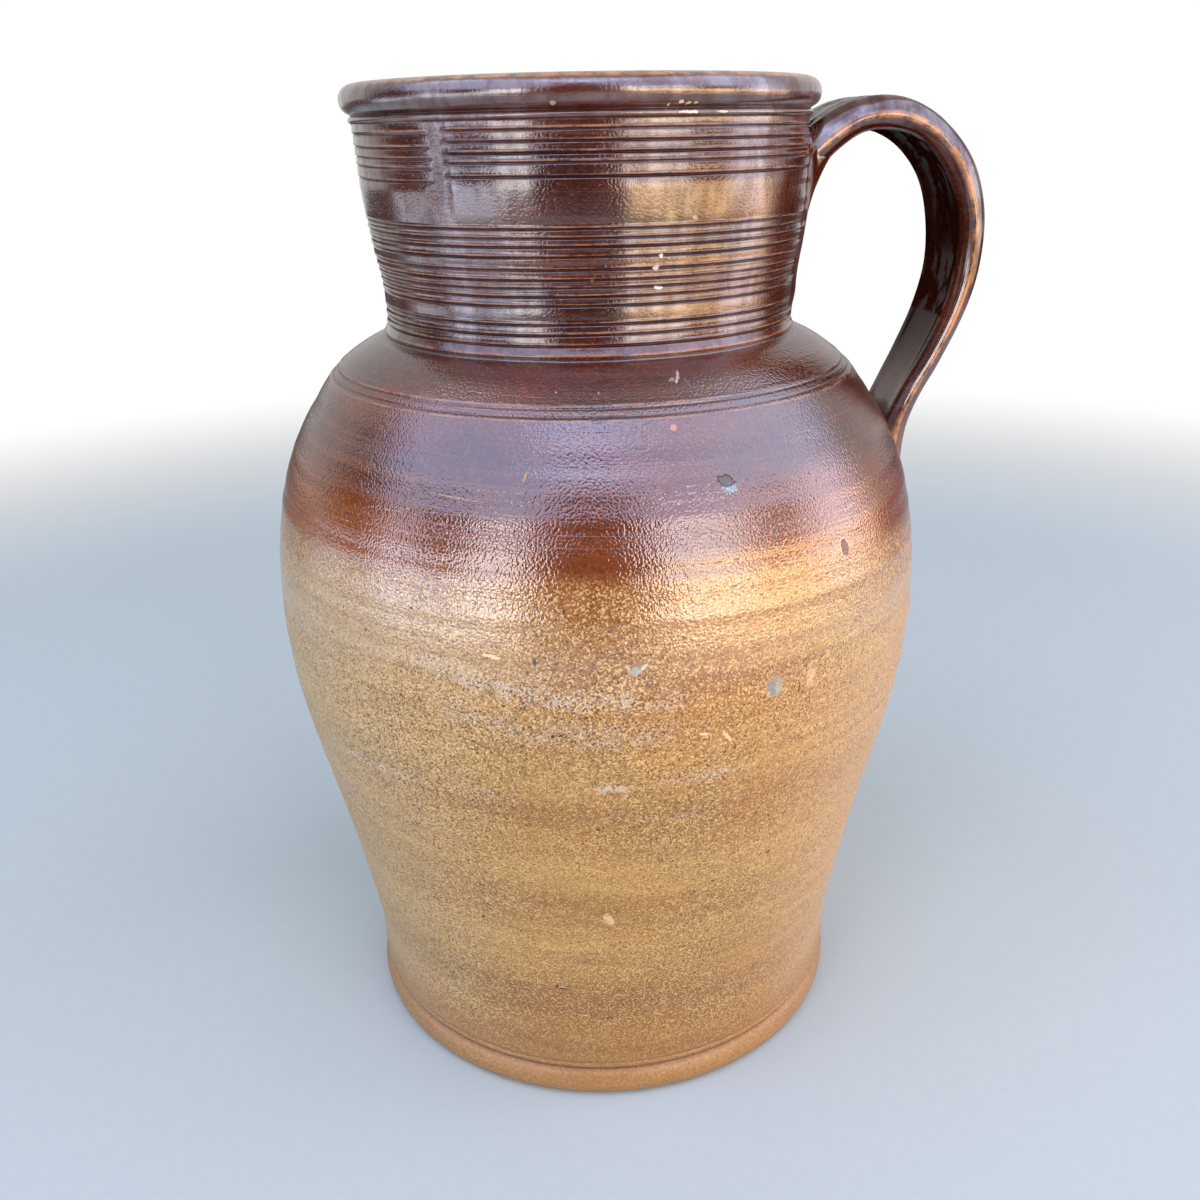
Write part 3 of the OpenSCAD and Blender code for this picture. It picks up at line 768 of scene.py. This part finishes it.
neckMarks = [
    (-116.7, 286.3, .75, .65, 0, .25, "#151316", .22),
    (-78.1, 270.6, 1.3, 1.3, 0, .3, "#6f6b42", 0, "#8d6a3a"),
    (-73.2, 272.6, .32, 1.5, 32, .35, "#1f0e0b", .25), (-72.4, 270.4, 1.2, .5, -25, .7, "#a88473"),
    (-81.6, 258.4, 1, .62, 0, .6, "#e6e0d6"), (-80.3, 261.4, .6, .5, 0, .6, "#e6e0d6"),
    (-80.5, 253.2, 1.3, .42, 0, .8, "#d8d0c6"), (-96.8, 255.7, .35, .35, 0, .3, "#8c8236"),
]
rimMarks = [
    (-104, 297.8, .9, .5, 0, .7, "#a5957e", .12), (-77.4, 297.6, .7, .45, 0, .9, "#dccfbc", .1),
    (-75.6, 297.3, .9, .35, 0, .9, "#cdbda8"), (-73.9, 297.3, .6, .3, 0, .9, "#cdbda8"),
    (-80, 297, .35, .35, 0, .4, "#e0d8cb"), (-75, 295.3, 2.8, .32, 0, .9, "#dccfbd"),
    (-66.5, 295.3, 1.8, .26, 0, .9, "#c9b8a2"),
]

def shoulderGlazed(name, look, low, high):
    marks = [mark for mark in shoulderMarks if low < mark[1] < high]
    return glazedMaterial(name, looks[look], marks)

wallGlaze = glazedMaterial("toastedWallGlaze", looks["wall"], wallMarks)
beltGlaze = shoulderGlazed("glossyBeltGlaze", "belt", 0, jug["belt"] + 4)
shoulderGlaze = shoulderGlazed("dippedShoulderGlaze", "shoulder", jug["belt"] - 4, tall)
neckGlaze = glazedMaterial("ribbedNeckGlaze", looks["neck"], neckMarks)
rimGlaze = glazedMaterial("rolledRimGlaze", looks["rim"], rimMarks)
handleGlaze = glazedMaterial("strapHandleGlaze", looks["handle"])

bellyOut, beltOut, collarOut = (rowAt("outer", jug[key]) for key in ("belly", "belt", "collar"))
bellyIn, beltIn, collarIn = (rowAt("inner", jug[key]) for key in ("belly", "belt", "collar"))
(footOut, rimOut), (rimIn, floorIn) = kinds["outer"], kinds["inner"]
footClose = ringRow(np.array([81, 78.5, 76.05, 76.05, 76.05]), np.array([10.2, 10.1, 10, 5, 0.3]))

slicePiece("footBead", "foot_bead", [(0, footOut)], wallGlaze, footClose)
slicePiece("bodyWall", "body_wall", [(footOut, bellyOut), (bellyIn, floorIn)], wallGlaze)
slicePiece("shoulderBelt", "shoulder", [(bellyOut, beltOut), (beltIn, bellyIn)], beltGlaze)
slicePiece("shoulderDome", "shoulder", [(beltOut, collarOut), (collarIn, beltIn)], shoulderGlaze)
slicePiece("neckCollar", "neck_collar", [(collarOut, rimOut), (rimIn, collarIn)], neckGlaze)
slicePiece("rimRoll", "rim_roll", [kinds["rim"]], rimGlaze)


# Thrown floor: wiped underside with concentric marks, glazed well inside
floorLook = {
    "clay": "#b79a74", "clayPale": "#cdb48d", "clayDark": "#8a6a48", "scorch": "#7c4a26",
    "speck": "#3a2418", "bump": 0.7,
}

def makeFloorMaterial(look):
    material, place = startMaterial("bareFloorClay")
    x, y, z = split(place)
    wire = cloudy(join(sums("SQRT", x * x + y * y) * 330, x * 9), 1, 3, 0.6)
    sand = cloudy(place, 1100, 2, 0.6)
    stain = cloudy(place, 28, 3, 0.6)
    specks = useGroup(ironSpecks, Vector=place, Spacing=4, Size=0.6, Share=0.5)
    body = layered(blend(eased(wire, 0.35, 0.65), look["clayDark"], look["clay"]), look, [
        (eased(sand, 0.42, 0.62), "clayPale"),
        (eased(stain, 0.48, 0.68) * 0.6, "scorch"),
        (specks["Specks"], "speck"),
    ])
    upper = eased(z, 0.008, 0.0095)
    glazed = useGroup(jugGlaze, Vector=place, Inside=1, Wear=0.3)
    body, rough = blend(upper, body, glazed["Colour"]), timesPlus(upper, -0.45, 0.8)
    bumps = timesPlus(wire, 0.25, sand * 0.1)
    return finishMaterial(material, {"Base Color": body, "Roughness": rough}, bumps, look["bump"])

def makeFloorDisc():
    under = np.concatenate([[0.6, 3, 7], np.linspace(12, 74, 26), [75.4, 75.9]])
    upper = np.concatenate([[75.9, 75.2, 73], np.linspace(70, 8, 26), [4, 0.6]])
    low = 0.35 + 0.12 * np.sin(under * 0.9) * ease(2, 20, under) - 0.35 * ease(70, 75, under)
    rise = 9.86 + 0.1 * np.sin(upper * 0.75) - 0.12 * hump(upper, 0, 12)
    rise[:3] = 9.86
    z = np.concatenate([np.maximum(low, 0.02), [0.6, 9.4], rise])
    rows = ringRow(np.concatenate([under, [75.98, 75.98], upper]), z)
    inside = np.repeat((z > 9)[:, None].astype(float), len(columns), 1)
    return meshFromRows("thrownFloor", rows, gridNormals(rows), {"inside": inside}, False)

dress(makeFloorDisc(), "base_disc", makeFloorMaterial(floorLook))


# Strap handle: one pulled strap, split where its pressed tail begins
strap = {
    "reach": 42, "wide": 35, "thick": 9, "neckCurve": 66,
    "ends": (0.9265, 0.6), "splitHeight": 0.669,   # shares of the jug's height
    "path": [(.035, -.29), (-.01, -.09), (-.05, .13), (-.066, .35), (-.05, .555), (-.012, .725),
        (.045, .86), (.12, .955), (.205, 1.005), (.297, 1), (.39, .943), (.488, .835), (.585, .665),
        (.675, .455), (.75, .26), (.818, .112), (.886, .02), (.957, -.022), (1.02, -.045)],
    "width": [1.16, 1.1, 1.05, 1.02, 1, 1, 1, 1, 1, 1, .98, .95, .91, .87, .83, .8, .76, .66, .4],
    "thickness": [1.3, 1.25, 1.18, 1.12, 1.08, 1.04, 1, 1, 1, .98, .94, .88, .83, .8, .8, .88, .9, .7,
        .3],
    "hollow": [0, 0, 0, .3, .7, 1, 1, 1, 1, 1, 1, 1, .9, .7, .4, .2, 0, 0, 0],
    # cross section from the near arris over the outer face and back along the inner: across, out
    "outer": [(-1, -.12), (-.965, .16), (-.915, .46), (-.845, .74), (-.745, .92), (-.62, .95),
        (-.48, .84), (-.34, .86), (-.2, .95), (-.04, .93), (.12, .84), (.28, .87), (.44, .95), (.6, .94),
        (.745, .9), (.845, .74), (.915, .46), (.965, .16), (1, -.12)],
    # half of the inner face, which is the same on both sides
    "inner": [(.97, -.38), (.915, -.62), (.84, -.84), (.75, -.97), (.66, -.93), (.56, -.74), (.42, -.58),
        (.22, -.5), (0, -.48)],
}

def makeStrapRings():
    root, tail = (np.array([outerRadius(share * tall), share * tall]) for share in strap["ends"])
    chord = tail - root
    out = unit(np.array([-chord[1], chord[0]]))
    path = smoothRow([root + chord * a + out * strap["reach"] * b for a, b in strap["path"]], 10)
    wide, thick, hollow = (smoothRow(strap[key], 10) for key in ("width", "thickness", "hollow"))
    half = strap["inner"]
    loop = np.array(strap["outer"] + half + [(-u, v) for u, v in half[-2::-1]])
    u, v = smoothRow(np.vstack([loop[-1:], loop, loop[:2]]), 4)[4:4 + 4 * len(loop)].T
    side = np.abs(u)
    filled = np.where((v < -0.2) & (side < 0.75), -0.97 + 0.06 * side, v)
    along = unit(np.gradient(path, axis=0))
    part = np.linspace(0, 1, len(path))[:, None]
    uneven = 0.992 + 0.006 * np.sin(part * 29) + 0.004 * np.sin(part * 61 + 1)
    across = u * strap["wide"] * wide / 2 * uneven
    offset = (v * hollow + filled * (1 - hollow)) * strap["thick"] * thick / 2
    offset = offset * (1 + 0.02 * np.sin(part * 37 + u * 2)) - 0.15
    x = path[:, :1] - along[:, 1:] * offset
    z = path[:, 1:] + along[:, :1] * offset
    # the root is wrapped round the neck
    curve, far = strap["neckCurve"], np.minimum(np.abs(across), 40)
    x = x - (1 - ease(0, 0.16, part)) * (curve - np.sqrt(curve ** 2 - far ** 2))
    rim = hump(side, 1, 0.05) * hump(v, -0.14, 0.42)
    # painted highlight: a faint light line along the near inner rib, in the wear colour
    ribHighlight = 0.45 * hump(u, -0.75, 0.07) * (v < 0) + 0.3 * hump(side, 0.68, 0.08) * (v > 0)
    crests = np.repeat(np.maximum(rim, ribHighlight)[None], len(path), 0)
    # painted shade: the whole inner hollow of the strap is darkened in the groove colour
    poolsAndShade = (v < -0.3) * (1 - ease(0.72, 0.84, side)) * hollow
    return np.stack([x, across, z], 2), crests, poolsAndShade, path

strapRings, strapCrests, strapHollowShade, strapPath = makeStrapRings()
strapNormals = gridNormals(strapRings)
if (strapNormals[80] * (strapRings[80] - strapRings[80].mean(0))).sum() < 0:   # faces turn outwards
    strapRings, strapNormals, strapCrests, strapHollowShade = (
        rows[:, ::-1] for rows in (strapRings, -strapNormals, strapCrests, strapHollowShade))
below = np.where(strapPath[:, 1] < strap["splitHeight"] * tall)[0]
tailStart = int(below[below > len(strapPath) // 2][0])

def strapPiece(name, node, first, last):
    part = slice(first, last + 1)
    values = {"groove": strapHollowShade[part], "crest": strapCrests[part], "inside": 0 * strapHollowShade[part]}
    dress(meshFromRows(name, strapRings[part], strapNormals[part], values, False), node, handleGlaze)

strapPiece("strapHandle", "handle_strap", 0, tailStart)
strapPiece("strapTail", "handle_tail", tailStart, len(strapRings) - 1)


# Clay luted under the strap and wiped down the neck, feathered into it all round
smear = {"low": 238, "high": 288.5, "half": 30, "thin": 0.7, "fillet": 5.4, "rows": 110, "across": 96}

def makeSmear():
    low, high, half = smear["low"], smear["high"], smear["half"]
    around, rise = np.linspace(-half, half, smear["across"]), np.linspace(low, high, smear["rows"])
    degrees, z = np.meshgrid(around, rise)
    angle, side = np.radians(degrees), np.abs(degrees)
    edge = np.minimum.reduce([ease(0, 11, half - side), ease(0, 9, z - low), ease(0, 3, high - z)])
    body = smear["thin"] * (0.45 + 0.55 * np.cos(angle * 2.6))
    swell = np.clip((z - 261) / 22, 0, 1) ** 2.1 * (1 - ease(284.5, 288.5, z))
    body = body + smear["fillet"] * swell * (1 - ease(11, 18, side))
    wiped = 0.07 * np.sin(degrees * 1.9 + z * 0.12) + 0.05 * np.sin(degrees * 4.3 - z * 0.07 + 2)
    bare = outerRadius(z) + outerRelief(angle, z)[0]
    top = onJug(bare + (body + wiped) * edge - 0.5 * (1 - edge), angle, z)
    under = onJug(outerRadius(z) - 3, angle, z)
    rings = np.concatenate([top, under[:, ::-1]], 1)
    # near its edge the clay takes the neck's own normals
    up, flat = (unit(np.cross(np.gradient(points, axis=1), np.gradient(points, axis=0)))
                for points in (top, onJug(bare, angle, z)))
    share = ease(0.25, 0.85, edge)[..., None]
    up = unit(up * share + flat * (1 - share))
    values = {key: np.zeros(rings.shape[:2]) for key in ("groove", "crest", "inside")}
    normals = np.concatenate([up, -up[:, ::-1]], 1)
    dress(meshFromRows("strapRoot", rings, normals, values, False), "handle_root", handleGlaze)

makeSmear()


# Plain floor and soft studio light. Behind the jug the world is white where the glaze mirrors it.
studio = {
    "floorNear": "#b0b9b3", "floorFar": "#5b514b", "floorGrain": "#9fa5ad",
    "floorRadius": 3, "floorSides": 96, "world": 0.2, "mirror": 0.06, "skyTint": (0.95, 0.97, 1, 1),
    "whiteMirror": 0.7, "whiteSide": 67, "whiteOut": 0.966, "whiteUp": 0.259,
}

def mixShaders(tree, amount, first, second):
    return addNode(tree, "MixShader", amount, first, second).outputs[0]

def makeFloor():
    mesh = bpy.data.meshes.new("studioFloor")
    turns = [2 * math.pi * i / studio["floorSides"] for i in range(studio["floorSides"])]
    reach = studio["floorRadius"]
    ring = [(reach * math.cos(turn), reach * math.sin(turn), -0.0001) for turn in turns]
    mesh.from_pydata(ring, [], [list(range(len(ring)))])
    floor = addObject("studioFloor", mesh)
    material, place = startMaterial("paleFloor")
    tree = place.tree
    length = addNode(tree, "VectorMath", place)
    length.operation = "LENGTH"
    far = Signal(length.outputs["Value"])
    grain = eased(cloudy(place, 240, 3, 0.6), 0.35, 0.7)
    tone = blend(eased(far, 0.6, 1.2), studio["floorNear"], studio["floorFar"])
    shader = tree.nodes.new("ShaderNodeBsdfPrincipled")
    tone = blend(grain * 0.1, tone, studio["floorGrain"])
    feedAll(shader.inputs, {"Base Color": tone, "Roughness": 0.85})
    glow = addNode(tree, "Emission", "#ffffff", 1)
    seen = tree.nodes.new("ShaderNodeLightPath").outputs["Is Camera Ray"]
    faded = mixShaders(tree, eased(far, 0.5, 1.1), shader.outputs[0], glow.outputs[0])
    addNode(tree, "OutputMaterial", mixShaders(tree, seen, shader.outputs[0], faded))
    mesh.materials.append(material)

def makeWorld():
    world = bpy.data.worlds.new("softStudio")
    bpy.context.scene.world = world
    tree = clearTree(world)
    path = {socket.name: Signal(socket) for socket in tree.nodes.new("ShaderNodeLightPath").outputs}
    glossy = path["Is Glossy Ray"]
    dimmed = eased(glossy, 0, 1, studio["world"], studio["mirror"])
    soft = addNode(tree, "Background", studio["skyTint"], dimmed)
    white = addNode(tree, "Background", "#ffffff", 1)
    behind = addNode(tree, "VectorMath", tree.nodes.new("ShaderNodeTexCoord").outputs["Generated"])
    behind.operation = "DOT_PRODUCT"
    turned, out = math.radians(studio["whiteSide"] + photoView["turn"]), studio["whiteOut"]
    behind.inputs[1].default_value = (out * math.cos(turned), out * math.sin(turned), studio["whiteUp"])
    whitened = eased(Signal(behind.outputs["Value"]), -0.12, 0.08) * studio["whiteMirror"]
    mirrored = whitened * larger(glossy, path["Is Transmission Ray"])
    shown = mixShaders(tree, larger(path["Is Camera Ray"], mirrored), soft.outputs[0], white.outputs[0])
    addNode(tree, "OutputWorld", shown)

# Lamps: side and rise in degrees, distance, size across and up in metres, radiance and tint
tints = {
    "sky": (0.6, 0.67, 1), "left": (0.98, 0.93, 0.92), "right": (1, 0.92, 0.86),
    "leftPale": (0.8, 0.82, 1), "rightPale": (0.88, 0.84, 1), "leftGround": (0.76, 0.82, 1),
    "rightGround": (1, 0.62, 0.3), "leftFar": (0.8, 0.84, 1), "rightFar": (1, 0.62, 0.32),
    "white": (1, 1, 1),
}
lamps = {
    "skyLeft": (-143, 48, 1.5, 2, 1.3, 2.6, "sky"), "skyRight": (-28, 45, 1.5, 2.6, 1.3, 2.4, "sky"),
    "skyTop": (-89, 64, 1.5, 0.75, 0.62, 2.6, "sky"),
    "leftStrip": (-159, 9, 1.3, 0.28, 0.58, 2.8, "leftPale"),
    "leftFrontA": (-127, 8, 1.3, 0.19, 0.6, 6.6, "left"),
    "leftFrontB": (-117, 8, 1.3, 0.12, 0.6, 9, "left"),
    "rightFrontA": (-67, 11, 1.3, 0.12, 0.6, 9, "right"),
    "rightFrontB": (-54, 11, 1.3, 0.22, 0.6, 5.6, "right"),
    "rightFrontC": (-42, 11, 1.3, 0.17, 0.6, 5.6, "right"),
    "rightStrip": (-1, 8, 1.3, 0.56, 0.6, 2.8, "rightPale"),
    "leftGround": (-147, -2.3, 1, 0.72, 0.24, 3.5, "leftGround"),
    "rightGround": (-40, -2.3, 1, 1.05, 0.24, 6, "rightGround"),
    "leftFar": (176, -5.5, 1, 0.5, 0.14, 2.2, "leftFar"),
    "rightFar": (3, -2.3, 1, 0.5, 0.24, 3, "rightFar"),
    "backFill": (95, 40, 1.6, 2, 1.4, 1.1, "white"),
}
lampAim = Vector((0, 0, 0.17))

def makeLamps():
    for name, (around, above, away, wide, high, radiance, tint) in lamps.items():
        lamp = bpy.data.lights.new(name, "AREA")
        lamp.shape = "RECTANGLE"
        lamp.size, lamp.size_y, lamp.color = wide, high, tints[tint]
        lamp.energy = radiance * wide * high * math.pi
        holder = addObject(name, lamp)
        a, e = math.radians(around + photoView["turn"]), math.radians(above)
        way = Vector((math.cos(a) * math.cos(e), math.sin(a) * math.cos(e), math.sin(e)))
        holder.location = lampAim + way * away
        holder.rotation_euler = way.to_track_quat("Z", "Y").to_euler()
        holder.visible_camera = False
        holder.visible_glossy = name != "backFill"   # the glaze mirrors the white world there

makeFloor()
makeWorld()
makeLamps()
bpy.context.scene.view_settings.view_transform = "Standard"
print("studio ready")
